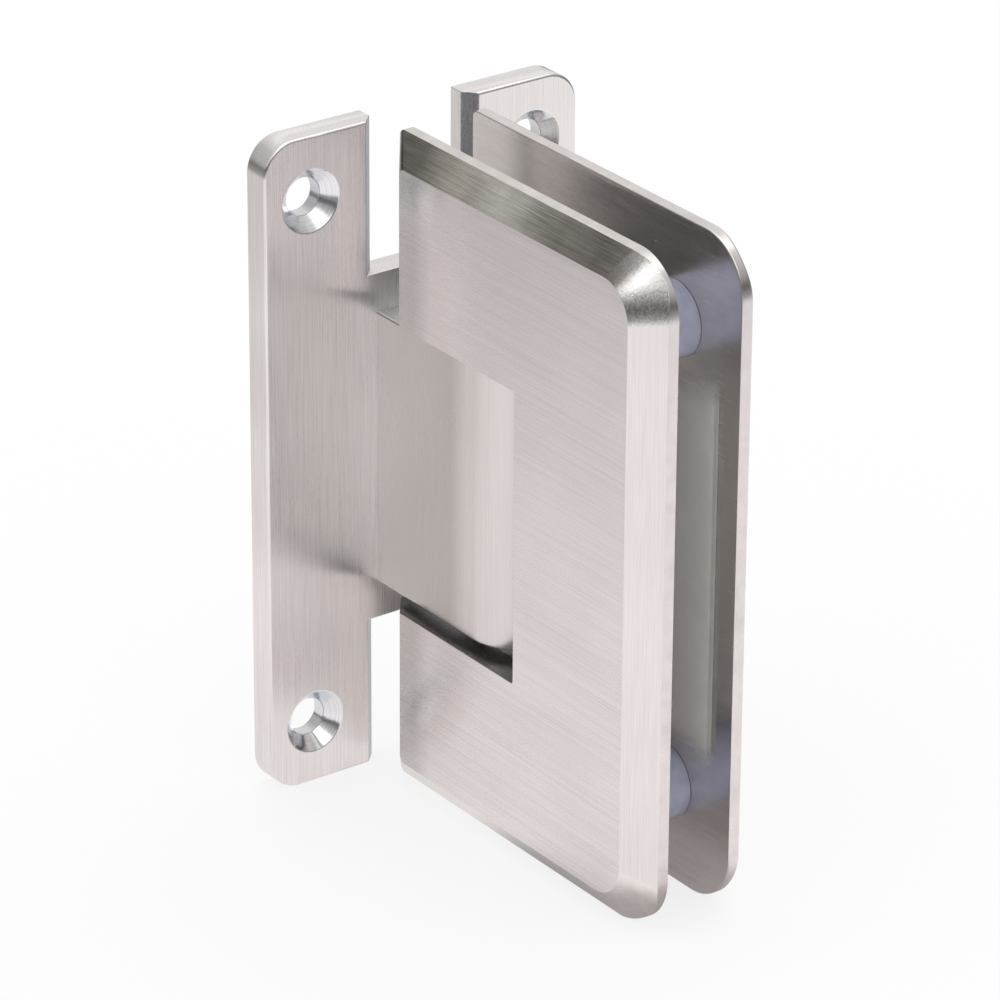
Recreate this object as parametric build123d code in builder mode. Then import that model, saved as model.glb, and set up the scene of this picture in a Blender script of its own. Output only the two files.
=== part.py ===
from build123d import *

import os
from math import cos, radians, tan

# Wall-to-glass door hinge, in millimetres.
# X runs away from the wall, Y across the glass, Z up along the pin.
# The origin is the centre of the wall plate's back face.
os.makedirs("parts", exist_ok=True)

# Height of the wall plate and of both clamp plates, and how far the clamp plates stand out from the wall
plate_height = 90.0
reach = 62.8

# Wall plate
wall_width = 48.0
wall_thickness = 3.9
wall_corner_radius = 4.5
slot_width = 14.0
slot_bevel = 1.7
web_height = 48.4
edge_round = 0.35
wall_screw_spacing_y = 34.2
wall_screw_spacing_z = 72.8
wall_screw_hole_radius = 2.5
wall_countersink_radius = 4.3

# Pivot block and its bores
pivot_x = 25.0
block_thickness = 14.4
block_height = 38.0
pin_radius = 3.5
pin_clearance = 0.05
pin_room = 0.2
bush_wall = 1.4
bush_length = 7.0
bush_seat_clearance = 0.02
spring_bore_radius = 3.0
spring_bore_spacing = 11.0
block_screw_spacing = 28.0
tapped_depth = 10.0

# Clamp plates
clamp_start_x = 7.9
glass_gap = 9.5
land_thickness = 1.6
bevel_depth = 2.7
bevel_width = 3.6
end_bevel_width = 4.4
clamp_corner_radius = 7.5
face_corner_radius = 5.0
start_corner_radius = 1.0
notch_clearance = 1.0
notch_reach = 11.0
notch_corner_radius = 0.4

# Lugs that carry the pin
lug_height = 8.0
lug_front = 8.5
lug_back = 7.5
lug_gap = 0.2
lug_bore_clearance = 0.03

# Posts and screws between the plates
post_inset = 12.8
post_spacing = 63.0
post_radius = 3.25
post_seat_depth = 2.0
post_seat_clearance = 0.02
post_end_gap = 0.3
sleeve_radius = 5.0
sleeve_clearance = 0.1
sleeve_end_gap = 0.05
post_thread_depth = 9.5

# Screws: thread radius, head radius and socket of the large and the small ones
screw_radius = 2.4
screw_hole_clearance = 0.1
plate_hole_clearance = 0.3
head_radius = 4.6
head_clearance = 0.05
head_sink = 0.15
head_rim = 0.3
socket_size = 3.0
socket_depth = 2.0
set_screw_radius = 1.95
set_screw_clearance = 0.05
set_screw_recess = 0.4
set_screw_socket = 2.0
set_screw_socket_depth = 1.5

# Detent: plungers, springs and plugs
flat_distance = 3.1
flat_zone = 22.0
plunger_clearance = 0.05
plunger_gap = 0.1
plunger_length = 6.0
plunger_tip = 0.5
plug_length = 3.0
plug_recess = 0.3
plug_socket = 2.5
spring_wire_radius = 0.45
spring_radius = 2.2
spring_turns = 5
spring_end_gap = 0.05
end_flat_distance = 3.2

# Washers and gaskets
washer_wall = 1.0
washer_gap = 0.05
gasket_thickness = 0.7
gasket_inset = 1.0
gasket_end_inset = 4.0
glass_cutout_height = 59.0
cutout_post_distance = 9.0
gasket_hole_clearance = 0.2

# Sizes worked out from the ones above
block_end_z = block_height / 2
notch_half = block_end_z + notch_clearance
notch_end_x = pivot_x + notch_reach
post_x = reach - post_inset
glass_cutout_reach = post_x - cutout_post_distance
inner_y = glass_gap / 2
land_y = inner_y + land_thickness
face_y = land_y + bevel_depth
bush_bore_radius = pin_radius + pin_clearance
bush_radius = bush_bore_radius + bush_wall
washer_bore_radius = bush_bore_radius + pin_clearance
screw_hole_radius = screw_radius + screw_hole_clearance
plate_hole_radius = screw_radius + plate_hole_clearance
head_seat_radius = head_radius + head_sink + head_rim + head_clearance
lug_top = notch_half + lug_height
lug_middle = notch_half + lug_height / 2
pin_half_length = lug_top - set_screw_recess
post_ends = (-inner_y - post_seat_depth, inner_y - post_end_gap)
plunger_front_x = pivot_x - pin_radius - plunger_gap
plunger_back_x = plunger_front_x - plunger_length
plug_back_x = wall_thickness + plug_recess
plug_front_x = plug_back_x + plug_length
cut_margin = 1.0
right_angle = 90.0
hexagon_half_angle = 30.0
levels = {"upper": 1, "lower": -1}


def finish(part, name):
    """Labels a piece and writes it to its own file."""
    part.label = name
    export_step(part, f"parts/{name}.step")


def facing_x(x, y=0.0, z=0.0):
    """A plane across X that faces away from the wall, with Y and Z as its own axes."""
    return Plane(origin=(x, y, z), x_dir=(0, 1, 0), z_dir=(1, 0, 0))


def facing_wall(x, y=0.0, z=0.0):
    """A plane across X that faces the wall."""
    return Plane(origin=(x, y, z), x_dir=(0, -1, 0), z_dir=(-1, 0, 0))


def facing_front(y, x=0.0, z=0.0):
    """A plane across Y that faces the front clamp plate's side, with X and Z as its own axes."""
    return Plane(origin=(x, y, z), x_dir=(1, 0, 0), z_dir=(0, -1, 0))


def facing_rear(y, x=0.0, z=0.0):
    """A plane across Y that faces the rear clamp plate's side."""
    return Plane(origin=(x, y, z), x_dir=(-1, 0, 0), z_dir=(0, 1, 0))


def hexagon_radius(across_flats):
    """The corner radius of a hexagon that is so wide across its flats."""
    return across_flats / 2 / cos(radians(hexagon_half_angle))


# Wall plate: a rounded rectangle with a bevelled slot in each end
with BuildPart() as wall_plate:
    with BuildSketch(facing_x(0)) as wall_outline:
        RectangleRounded(wall_width, plate_height, wall_corner_radius)
    extrude(amount=wall_thickness)
    fillet(wall_plate.faces().sort_by(Axis.X)[-1].edges(), edge_round)
    slot_depth = (plate_height - web_height) / 2
    for side in levels.values():
        slot_floor = side * web_height / 2
        with BuildSketch(Plane.XY.offset(slot_floor)) as slot_profile:
            with BuildLine():
                back = slot_width / 2
                front = back + slot_bevel
                bevel_start = wall_thickness - slot_bevel
                past = front + cut_margin
                Polyline(
                    (-cut_margin, -back), (bevel_start, -back), (wall_thickness, -front),
                    (wall_thickness + cut_margin, -past), (wall_thickness + cut_margin, past),
                    (wall_thickness, front), (bevel_start, back), (-cut_margin, back), close=True,
                )
            make_face()
        extrude(amount=side * (slot_depth + cut_margin), mode=Mode.SUBTRACT)
    with Locations(facing_x(wall_thickness)):
        with GridLocations(wall_screw_spacing_y, wall_screw_spacing_z, 2, 2):
            CounterSinkHole(wall_screw_hole_radius, wall_countersink_radius,
                            depth=wall_thickness, counter_sink_angle=right_angle)
    with Locations(facing_wall(0)):
        with GridLocations(0, block_screw_spacing, 1, 2):
            CounterSinkHole(plate_hole_radius, head_seat_radius,
                            depth=wall_thickness, counter_sink_angle=right_angle)
finish(wall_plate.part, "wall_plate")

# Pivot block: flat sides, with a nose that is a half round about the pin
with BuildPart() as pivot_block:
    with BuildSketch(Plane.XY.offset(-block_end_z)) as block_outline:
        body_length = pivot_x - wall_thickness
        with Locations((wall_thickness + body_length / 2, 0)):
            Rectangle(body_length, block_thickness)
        with Locations((pivot_x, 0)):
            Circle(block_thickness / 2)
    extrude(amount=block_height)
    ends = pivot_block.faces().filter_by(Axis.Z).edges()
    rim = ends.filter_by(lambda edge: edge.center().X > wall_thickness + edge_round)
    fillet(rim, edge_round)
    with BuildSketch(Plane.XY.offset(-block_end_z)) as pin_bore:
        with Locations((pivot_x, 0)):
            Circle(pin_radius + pin_room)
    extrude(amount=block_height, mode=Mode.SUBTRACT)
    for side in levels.values():
        with BuildSketch(Plane.XY.offset(side * block_end_z)) as bush_seat:
            with Locations((pivot_x, 0)):
                Circle(bush_radius + bush_seat_clearance)
        extrude(amount=-side * bush_length, mode=Mode.SUBTRACT)
    with BuildSketch(facing_x(wall_thickness)) as spring_bores:
        with GridLocations(0, spring_bore_spacing, 1, 2):
            Circle(spring_bore_radius)
    extrude(amount=body_length, mode=Mode.SUBTRACT)
    with BuildSketch(facing_x(wall_thickness)) as tapped_holes:
        with GridLocations(0, block_screw_spacing, 1, 2):
            Circle(screw_hole_radius)
    extrude(amount=tapped_depth, mode=Mode.SUBTRACT)
finish(pivot_block.part, "pivot_block")


def countersunk_screw(plane, length):
    """A countersunk screw whose head lies in the plane and whose shank runs back from it."""
    cone_depth = (head_radius - screw_radius) / tan(radians(right_angle / 2))
    with BuildPart() as screw:
        with BuildSketch(plane):
            Circle(head_radius)
        extrude(amount=-head_rim)
        with BuildSketch(plane.offset(-head_rim)):
            Circle(head_radius)
        with BuildSketch(plane.offset(-head_rim - cone_depth)):
            Circle(screw_radius)
        loft()
        with BuildSketch(plane.offset(-head_rim - cone_depth)):
            Circle(screw_radius)
        extrude(amount=head_rim + cone_depth - length)
        with BuildSketch(plane):
            RegularPolygon(hexagon_radius(socket_size), 6)
        extrude(amount=-socket_depth, mode=Mode.SUBTRACT)
    return screw.part


def grub_screw(plane, radius, length, socket, depth):
    """A headless screw with its socket in the plane."""
    with BuildPart() as screw:
        with BuildSketch(plane):
            Circle(radius)
        extrude(amount=-length)
        with BuildSketch(plane):
            RegularPolygon(hexagon_radius(socket), 6)
        extrude(amount=-depth, mode=Mode.SUBTRACT)
    return screw.part


# Pieces inside and behind the block
spring_start_x = plug_front_x + spring_end_gap + spring_wire_radius
spring_length = plunger_back_x - spring_end_gap - spring_wire_radius - spring_start_x
block_screw_length = wall_thickness + tapped_depth - cut_margin
for level, side in levels.items():
    screw_z = side * block_screw_spacing / 2
    block_screw = countersunk_screw(facing_wall(head_sink, z=screw_z), block_screw_length)
    finish(block_screw, f"block_screw_{level}")

    with BuildPart() as pin_bush:
        with BuildSketch(Plane.XY.offset(side * (block_end_z - bush_length))):
            with Locations((pivot_x, 0)):
                Circle(bush_radius)
                Circle(bush_bore_radius, mode=Mode.SUBTRACT)
        extrude(amount=side * (bush_length - bush_seat_clearance))
    finish(pin_bush.part, f"pin_bush_{level}")

    bore_z = side * spring_bore_spacing / 2
    with BuildPart() as detent_plunger:
        with BuildSketch(facing_x(plunger_back_x, z=bore_z)):
            Circle(spring_bore_radius - plunger_clearance)
        extrude(amount=plunger_length)
        chamfer(detent_plunger.faces().sort_by(Axis.X)[-1].edges(), plunger_tip)
    finish(detent_plunger.part, f"detent_plunger_{level}")

    with BuildPart() as detent_spring:
        with BuildLine() as coil:
            Helix(spring_length / spring_turns, spring_length, spring_radius,
                  center=(spring_start_x, 0, bore_z), direction=(1, 0, 0))
        with BuildSketch(Plane(coil.line @ 0, z_dir=coil.line % 0)):
            Circle(spring_wire_radius)
        sweep(is_frenet=True)
    finish(detent_spring.part, f"detent_spring_{level}")

    plug = grub_screw(facing_wall(plug_back_x, z=bore_z), spring_bore_radius - plunger_clearance,
                      plug_length, plug_socket, set_screw_socket_depth)
    finish(plug, f"spring_plug_{level}")

    with BuildPart() as thrust_washer:
        with BuildSketch(Plane.XY.offset(side * (block_end_z + washer_gap))):
            with Locations((pivot_x, 0)):
                Circle(washer_bore_radius + washer_wall)
                Circle(washer_bore_radius, mode=Mode.SUBTRACT)
        extrude(amount=side * (notch_clearance - 2 * washer_gap))
    finish(thrust_washer.part, f"thrust_washer_{level}")


def rounded_end(start_x, end_x, half_height, corner_radius):
    """An outline with nearly square corners at its start and round ones at its end."""
    with BuildSketch(Plane.XY) as outline:
        with Locations(((start_x + end_x) / 2, 0)):
            Rectangle(end_x - start_x, 2 * half_height)
        fillet(outline.vertices().group_by(Axis.X)[-1], corner_radius)
        fillet(outline.vertices().group_by(Axis.X)[0], start_corner_radius)
    return outline.sketch


def clamp_blank(side):
    """A clamp plate before its holes: a flat land, then a bevel on all four sides."""
    land_plane = Plane(origin=(0, side * land_y, 0), x_dir=(1, 0, 0), z_dir=(0, -1, 0))
    face_plane = Plane(origin=(0, side * face_y, 0), x_dir=(1, 0, 0), z_dir=(0, -1, 0))
    with BuildPart() as blank:
        with BuildSketch(land_plane):
            add(rounded_end(clamp_start_x, reach, plate_height / 2, clamp_corner_radius))
        extrude(amount=side * land_thickness)
        with BuildSketch(land_plane):
            add(rounded_end(clamp_start_x, reach, plate_height / 2, clamp_corner_radius))
        with BuildSketch(face_plane):
            add(rounded_end(clamp_start_x + bevel_width, reach - end_bevel_width,
                            plate_height / 2 - bevel_width, face_corner_radius))
        loft(ruled=True)
        notch_length = notch_end_x - clamp_start_x + cut_margin
        with BuildSketch(land_plane) as notch:
            with Locations((notch_end_x - notch_length / 2, 0)):
                Rectangle(notch_length, 2 * notch_half)
            fillet(notch.vertices().group_by(Axis.X)[-1], notch_corner_radius)
        extrude(amount=face_y, both=True, mode=Mode.SUBTRACT)
    return blank.part


# Front clamp plate: carries the pin in two lugs and the posts in two seats
with BuildPart() as front_clamp_plate:
    add(clamp_blank(-1))
    lug_length = lug_front + lug_back
    for side in levels.values():
        with BuildSketch(Plane.XY.offset(side * notch_half)) as lug:
            with Locations((pivot_x + (lug_front - lug_back) / 2, -lug_gap / 2)):
                Rectangle(lug_length, glass_gap - lug_gap)
        extrude(amount=side * lug_height)
        with BuildSketch(Plane.XY.offset(side * notch_half)) as lug_bore:
            with Locations((pivot_x, 0)):
                Circle(pin_radius + lug_bore_clearance)
        extrude(amount=side * lug_height, mode=Mode.SUBTRACT)
        with BuildSketch(facing_x(pivot_x - lug_back, z=side * lug_middle)) as set_screw_hole:
            Circle(set_screw_radius + set_screw_clearance)
        extrude(amount=lug_back, mode=Mode.SUBTRACT)
    with BuildSketch(facing_front(-inner_y, x=post_x)) as post_seats:
        with GridLocations(0, post_spacing, 1, 2):
            Circle(post_radius + post_seat_clearance)
    extrude(amount=post_seat_depth, mode=Mode.SUBTRACT)
finish(front_clamp_plate.part, "front_clamp_plate")

# Rear clamp plate: countersunk for the clamp screws
with BuildPart() as rear_clamp_plate:
    add(clamp_blank(1))
    with Locations(facing_rear(face_y, x=post_x)):
        with GridLocations(0, post_spacing, 1, 2):
            CounterSinkHole(plate_hole_radius, head_seat_radius,
                            depth=face_y - inner_y, counter_sink_angle=right_angle)
finish(rear_clamp_plate.part, "rear_clamp_plate")

# Pivot pin: flats all round in the middle for the plungers, one at each end for its set screw
with BuildPart() as pivot_pin:
    with BuildSketch(Plane.XY.offset(-pin_half_length)) as pin_section:
        with Locations((pivot_x, 0)):
            Circle(pin_radius)
    extrude(amount=2 * pin_half_length)
    chamfer(pivot_pin.faces().filter_by(Axis.Z).edges(), edge_round)
    with BuildSketch(Plane.XY.offset(-flat_zone / 2)) as flats:
        with Locations((pivot_x, 0)):
            Circle(pin_radius + cut_margin)
            Rectangle(2 * flat_distance, 2 * flat_distance, mode=Mode.SUBTRACT)
    extrude(amount=flat_zone, mode=Mode.SUBTRACT)
    for side in levels.values():
        with BuildSketch(Plane.XY.offset(side * notch_half)) as end_flat:
            with Locations((pivot_x - end_flat_distance - cut_margin / 2, 0)):
                Rectangle(cut_margin, 2 * pin_radius)
        extrude(amount=side * lug_height, mode=Mode.SUBTRACT)
finish(pivot_pin.part, "pivot_pin")

# Pieces that join the two plates, above and below the glass cut-out
clamp_screw_length = face_y - head_sink - post_ends[1] + post_thread_depth - cut_margin
for level, side in levels.items():
    set_screw_start_x = pivot_x - lug_back + set_screw_recess
    set_screw_length = pivot_x - end_flat_distance - set_screw_clearance - set_screw_start_x
    pin_set_screw = grub_screw(facing_wall(set_screw_start_x, z=side * lug_middle), set_screw_radius,
                               set_screw_length, set_screw_socket, set_screw_socket_depth)
    finish(pin_set_screw, f"pin_set_screw_{level}")

    post_z = side * post_spacing / 2
    with BuildPart() as clamp_post:
        with BuildSketch(facing_rear(post_ends[1], x=post_x, z=post_z)):
            Circle(post_radius)
        extrude(amount=post_ends[0] - post_ends[1])
        with BuildSketch(facing_rear(post_ends[1], x=post_x, z=post_z)):
            Circle(screw_hole_radius)
        extrude(amount=-post_thread_depth, mode=Mode.SUBTRACT)
    finish(clamp_post.part, f"clamp_post_{level}")

    sleeve_half = inner_y - sleeve_end_gap
    with BuildPart() as post_sleeve:
        with BuildSketch(facing_rear(sleeve_half, x=post_x, z=post_z)):
            Circle(sleeve_radius)
            Circle(post_radius + sleeve_clearance, mode=Mode.SUBTRACT)
        extrude(amount=-2 * sleeve_half)
    finish(post_sleeve.part, f"post_sleeve_{level}")

    clamp_screw = countersunk_screw(facing_rear(face_y - head_sink, x=post_x, z=post_z),
                                    clamp_screw_length)
    finish(clamp_screw, f"clamp_screw_{level}")

# Gaskets: flat sheets that leave out the glass cut-out round the block and lugs
for name, side in {"front_gasket": -1, "rear_gasket": 1}.items():
    with BuildPart() as gasket:
        with BuildSketch(facing_front(side * inner_y)) as gasket_outline:
            start_x = clamp_start_x + gasket_inset
            end_x = reach - gasket_end_inset
            add(rounded_end(start_x, end_x, plate_height / 2 - gasket_inset, face_corner_radius))
            cutout_length = glass_cutout_reach - start_x + cut_margin
            with Locations((glass_cutout_reach - cutout_length / 2, 0)):
                Rectangle(cutout_length, glass_cutout_height, mode=Mode.SUBTRACT)
            with Locations((post_x, post_spacing / 2), (post_x, -post_spacing / 2)):
                Circle(sleeve_radius + gasket_hole_clearance, mode=Mode.SUBTRACT)
        extrude(amount=side * gasket_thickness)
    finish(gasket.part, name)
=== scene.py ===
from math import cos, pi, radians, sin

import bmesh
import bpy
import numpy as np
from mathutils import Matrix, Vector
from mathutils.geometry import tessellate_polygon


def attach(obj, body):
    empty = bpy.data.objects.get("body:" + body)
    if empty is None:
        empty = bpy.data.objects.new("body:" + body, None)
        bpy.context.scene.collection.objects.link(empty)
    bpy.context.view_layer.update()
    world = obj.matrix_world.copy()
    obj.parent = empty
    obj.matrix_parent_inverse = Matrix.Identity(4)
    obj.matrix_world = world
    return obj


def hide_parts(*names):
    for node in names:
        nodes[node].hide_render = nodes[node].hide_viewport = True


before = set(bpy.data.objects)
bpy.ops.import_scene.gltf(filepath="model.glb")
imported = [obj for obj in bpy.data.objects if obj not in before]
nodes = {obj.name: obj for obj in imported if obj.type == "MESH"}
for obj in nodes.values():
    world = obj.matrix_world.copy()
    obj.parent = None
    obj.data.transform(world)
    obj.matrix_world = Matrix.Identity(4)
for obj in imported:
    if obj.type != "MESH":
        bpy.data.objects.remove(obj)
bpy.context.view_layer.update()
mm = 0.001
print("frame loaded:", len(nodes), "nodes")

levels = {"upper": 1, "lower": -1}    # pieces that come in pairs, and which way each lies from the middle


# Colour and node helpers

noiseLow, noiseHigh = 0.3, 0.7    # a noise seldom leaves this range, so a finish changes over it
smooth = {"interpolation_type": "SMOOTHSTEP"}    # a Map Range that eases in and out


def linear(hexColour):
    # sRGB hex to linear: divide by 12.92 near black, else a 2.4 power
    channels = [int(hexColour[i:i + 2], 16) / 255 for i in (1, 3, 5)]
    return tuple(c / 12.92 if c <= 0.04045 else ((c + 0.055) / 1.055) ** 2.4 for c in channels) + (1.0,)


def hexStops(stops):
    return [(position, linear(colour)) for position, colour in stops]


def fromNoise(low, high):
    # Map Range values that turn a noise's range into low to high
    return {"From Min": noiseLow, "From Max": noiseHigh, "To Min": low, "To Max": high}


def addNode(tree, kind, settings=None, inputs=None, links=None, stops=None):
    # settings are the node's own properties, inputs are socket values, links are sockets fed by others,
    # and stops are a colour ramp's (position, linear colour) pairs in rising order
    node = tree.nodes.new(kind)
    for name, value in (settings or {}).items():
        setattr(node, name, value)
    for socket, value in (inputs or {}).items():
        node.inputs[socket].default_value = value
    for socket, source in (links or {}).items():
        tree.links.new(source, node.inputs[socket])
    if stops:
        elements = node.color_ramp.elements
        elements.remove(elements[1])
        elements[0].position, elements[0].color = stops[0]
        for position, colour in stops[1:]:
            elements.new(position).color = colour
    return node


def newMaterial(name):
    material = bpy.data.materials.new(name)
    material.use_nodes = True
    material.node_tree.nodes.clear()
    return material, material.node_tree


def paintShadeAlong(tree, colour, place, veil):
    # veil is (axis, start, end, colour steps): painted shade that darkens the steel from start to end, in mm
    axis, start, end, steps = veil
    part = addNode(tree, "ShaderNodeSeparateXYZ", links={"Vector": place}).outputs[axis]
    share = addNode(tree, "ShaderNodeMapRange", inputs={"From Min": start * mm, "From Max": end * mm},
                    links={"Value": part}).outputs["Result"]
    shadeLevel = addNode(tree, "ShaderNodeValToRGB", links={"Fac": share}, stops=hexStops(steps)).outputs["Color"]
    return addNode(tree, "ShaderNodeMix", {"data_type": "RGBA", "blend_type": "MULTIPLY"}, {0: 1.0},
                   {6: colour, 7: shadeLevel}).outputs[2]


# Satin stainless steel, rubbed with an abrasive belt: long fine scratches one way, a sheen drawn out
# across them. Real scratches are 0.02 mm apart, drawn here as wide as the render can show. Lengths in mm
def brushedSteel(name, along, dark, light, roughness, sheenSpread, scratchWidth, scratchLength, scratchDepth,
                 cloud, veil=None, roughRange=0.08):
    material, tree = newMaterial(name)
    stretch = [1 / scratchWidth / mm] * 3
    stretch["XYZ".index(along)] = 1 / scratchLength / mm
    place = addNode(tree, "ShaderNodeTexCoord").outputs["Object"]
    scratchPlace = addNode(tree, "ShaderNodeMapping", inputs={"Scale": stretch},
                           links={"Vector": place}).outputs["Vector"]
    scratches = addNode(tree, "ShaderNodeTexNoise", inputs={"Scale": 1.0, "Detail": 4.0, "Roughness": 0.6},
                        links={"Vector": scratchPlace}).outputs["Fac"]
    clouds = addNode(tree, "ShaderNodeTexNoise",
                     inputs={"Scale": 1 / cloud / mm, "Detail": 2.0, "Roughness": 0.4},
                     links={"Vector": place}).outputs["Fac"]
    # the tone is 0.7 of the scratches and 0.3 of the clouds
    clouds = addNode(tree, "ShaderNodeMath", {"operation": "MULTIPLY"}, {1: 0.3}, {0: clouds}).outputs[0]
    tone = addNode(tree, "ShaderNodeMath", {"operation": "MULTIPLY_ADD"}, {1: 0.7},
                   {0: scratches, 2: clouds}).outputs[0]
    rough = addNode(tree, "ShaderNodeMapRange",
                    inputs=fromNoise(roughness - 0.4 * roughRange, roughness + 0.6 * roughRange),
                    links={"Value": tone}).outputs["Result"]
    bump = addNode(tree, "ShaderNodeBump", inputs={"Strength": 1.0, "Distance": scratchDepth * mm},
                   links={"Height": scratches}).outputs["Normal"]
    colour = addNode(tree, "ShaderNodeValToRGB", links={"Fac": tone},
                     stops=hexStops([(noiseLow, dark), (noiseHigh, light)])).outputs["Color"]
    # painted shade along an axis darkens the colour
    if veil:
        colour = paintShadeAlong(tree, colour, place, veil)
    across = addNode(tree, "ShaderNodeTangent",
                     {"direction_type": "RADIAL", "axis": along}).outputs["Tangent"]
    shader = addNode(tree, "ShaderNodeBsdfPrincipled", inputs={"Metallic": 1.0, "Anisotropic": sheenSpread},
                     links={"Base Color": colour, "Roughness": rough, "Normal": bump, "Tangent": across})
    addNode(tree, "ShaderNodeOutputMaterial", links={"Surface": shader.outputs["BSDF"]})
    return material


# Steel turned on a lathe: fine rings about an axis, at the feed of the tool. Lengths in mm
def turnedSteel(name, along, centre, dark, light, roughness, ringWidth, ringDepth, folded=False):
    # folded rings lie round four centres that mirror each other
    material, tree = newMaterial(name)
    place = addNode(tree, "ShaderNodeTexCoord").outputs["Object"]
    if folded:
        place = addNode(tree, "ShaderNodeVectorMath", {"operation": "ABSOLUTE"},
                        links={0: place}).outputs["Vector"]
    flat = [1 / ringWidth / mm] * 3
    flat["XYZ".index(along)] = 0.0
    shift = [-value * mm * scale for value, scale in zip(centre, flat)]
    centred = addNode(tree, "ShaderNodeMapping", inputs={"Location": shift, "Scale": flat},
                      links={"Vector": place}).outputs["Vector"]
    distance = addNode(tree, "ShaderNodeVectorMath", {"operation": "LENGTH"},
                       links={0: centred}).outputs["Value"]
    rings = addNode(tree, "ShaderNodeTexNoise", {"noise_dimensions": "1D"},
                    {"Scale": 1.0, "Detail": 2.0, "Roughness": 0.5}, {"W": distance}).outputs["Fac"]
    bump = addNode(tree, "ShaderNodeBump", inputs={"Strength": 1.0, "Distance": ringDepth * mm},
                   links={"Height": rings}).outputs["Normal"]
    colour = addNode(tree, "ShaderNodeValToRGB", links={"Fac": rings},
                     stops=hexStops([(noiseLow, dark), (noiseHigh, light)])).outputs["Color"]
    shader = addNode(tree, "ShaderNodeBsdfPrincipled", inputs={"Metallic": 1.0, "Roughness": roughness},
                     links={"Base Color": colour, "Normal": bump})
    addNode(tree, "ShaderNodeOutputMaterial", links={"Surface": shader.outputs["BSDF"]})
    return material


# Drawn, plated or hand ground metal: an even surface with a faint mottle. Lengths in mm
def plainMetal(name, dark, light, roughness, mottle, mottleDepth, detail=3.0, veil=None):
    material, tree = newMaterial(name)
    place = addNode(tree, "ShaderNodeTexCoord").outputs["Object"]
    spots = addNode(tree, "ShaderNodeTexNoise",
                    inputs={"Scale": 1 / mottle / mm, "Detail": detail, "Roughness": 0.55},
                    links={"Vector": place}).outputs["Fac"]
    rough = addNode(tree, "ShaderNodeMapRange", inputs=fromNoise(roughness - 0.04, roughness + 0.06),
                    links={"Value": spots}).outputs["Result"]
    bump = addNode(tree, "ShaderNodeBump", inputs={"Strength": 1.0, "Distance": mottleDepth * mm},
                   links={"Height": spots}).outputs["Normal"]
    colour = addNode(tree, "ShaderNodeValToRGB", links={"Fac": spots},
                     stops=hexStops([(noiseLow, dark), (noiseHigh, light)])).outputs["Color"]
    # painted shade along an axis darkens the colour
    if veil:
        colour = paintShadeAlong(tree, colour, place, veil)
    shader = addNode(tree, "ShaderNodeBsdfPrincipled", inputs={"Metallic": 1.0},
                     links={"Base Color": colour, "Roughness": rough, "Normal": bump})
    addNode(tree, "ShaderNodeOutputMaterial", links={"Surface": shader.outputs["BSDF"]})
    return material


# Moulded or extruded plastic: a soft gloss over a fine mould texture. Lengths in mm
def mouldedPlastic(name, dark, light, roughness, grain, grainDepth, ior=1.5, film=None):
    # film is (clear share, milky share, half height, fade): a clear sheet, milky where adhesive lies under it
    material, tree = newMaterial(name)
    place = addNode(tree, "ShaderNodeTexCoord").outputs["Object"]
    texture = addNode(tree, "ShaderNodeTexNoise",
                      inputs={"Scale": 1 / grain / mm, "Detail": 3.0, "Roughness": 0.5},
                      links={"Vector": place}).outputs["Fac"]
    bump = addNode(tree, "ShaderNodeBump", inputs={"Strength": 1.0, "Distance": grainDepth * mm},
                   links={"Height": texture}).outputs["Normal"]
    colour = addNode(tree, "ShaderNodeValToRGB", links={"Fac": texture},
                     stops=hexStops([(noiseLow, dark), (noiseHigh, light)])).outputs["Color"]
    shader = addNode(tree, "ShaderNodeBsdfPrincipled", inputs={"Roughness": roughness, "IOR": ior},
                     links={"Base Color": colour, "Normal": bump})
    if film:
        clear, milky, half, fade = film
        height = addNode(tree, "ShaderNodeSeparateXYZ", links={"Vector": place}).outputs["Z"]
        height = addNode(tree, "ShaderNodeMath", {"operation": "ABSOLUTE"}, links={0: height}).outputs[0]
        opacity = addNode(tree, "ShaderNodeMapRange", smooth,
                          {"From Min": half * mm, "From Max": (half + fade) * mm, "To Min": milky,
                           "To Max": clear}, {"Value": height}).outputs["Result"]
        tree.links.new(opacity, shader.inputs["Alpha"])
    addNode(tree, "ShaderNodeOutputMaterial", links={"Surface": shader.outputs["BSDF"]})
    return material


# Satin finishes of the plates and the block, each brushed one way; their painted shade along x follows the
# photograph
# the clamp faces: painted shade darkens their left edge a little
faceSteel = brushedSteel("satinSteelFace", "X", "#d9d4d3", "#f5f1f0", roughness=0.26, sheenSpread=0.9,
                         scratchWidth=0.19, scratchLength=24.0, scratchDepth=0.0026, cloud=14.0,
                         veil=("X", 8.0, 20.0, [(0.0, "#e9ebea"), (0.55, "#e4e5e4"), (0.85, "#ffffff")]))
# the top bevels: painted shade along x, dark at the left, light from x 21 to 36, dark again towards the
# corner; the scratches' dark-to-white range is grain and painted glints
bevelSteel = brushedSteel("satinSteelBevel", "X", "#97938a", "#fffdf8", roughness=0.22, sheenSpread=0.4,
                          scratchWidth=0.12, scratchLength=7.0, scratchDepth=0.013, cloud=6.0,
                          veil=("X", 8.0, 63.0, [(0.0, "#9a9795"), (0.12, "#a9a6a3"), (0.24, "#f6f4f0"),
                                                 (0.5, "#ffffff"), (0.65, "#b8b5b2"), (0.78, "#a3a09e"),
                                                 (1.0, "#cfccc8")]),
                          roughRange=0.24)
endSteel = brushedSteel("satinSteelEnd", "Z", "#e2dddb", "#f3efee", roughness=0.22, sheenSpread=0.5,
                        scratchWidth=0.16, scratchLength=9.0, scratchDepth=0.0020, cloud=14.0)
plateSteel = brushedSteel("satinSteelWallPlate", "Z", "#dfdbda", "#fffdfc", roughness=0.28, sheenSpread=0.85,
                          scratchWidth=0.14, scratchLength=12.0, scratchDepth=0.0022, cloud=14.0)
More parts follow.
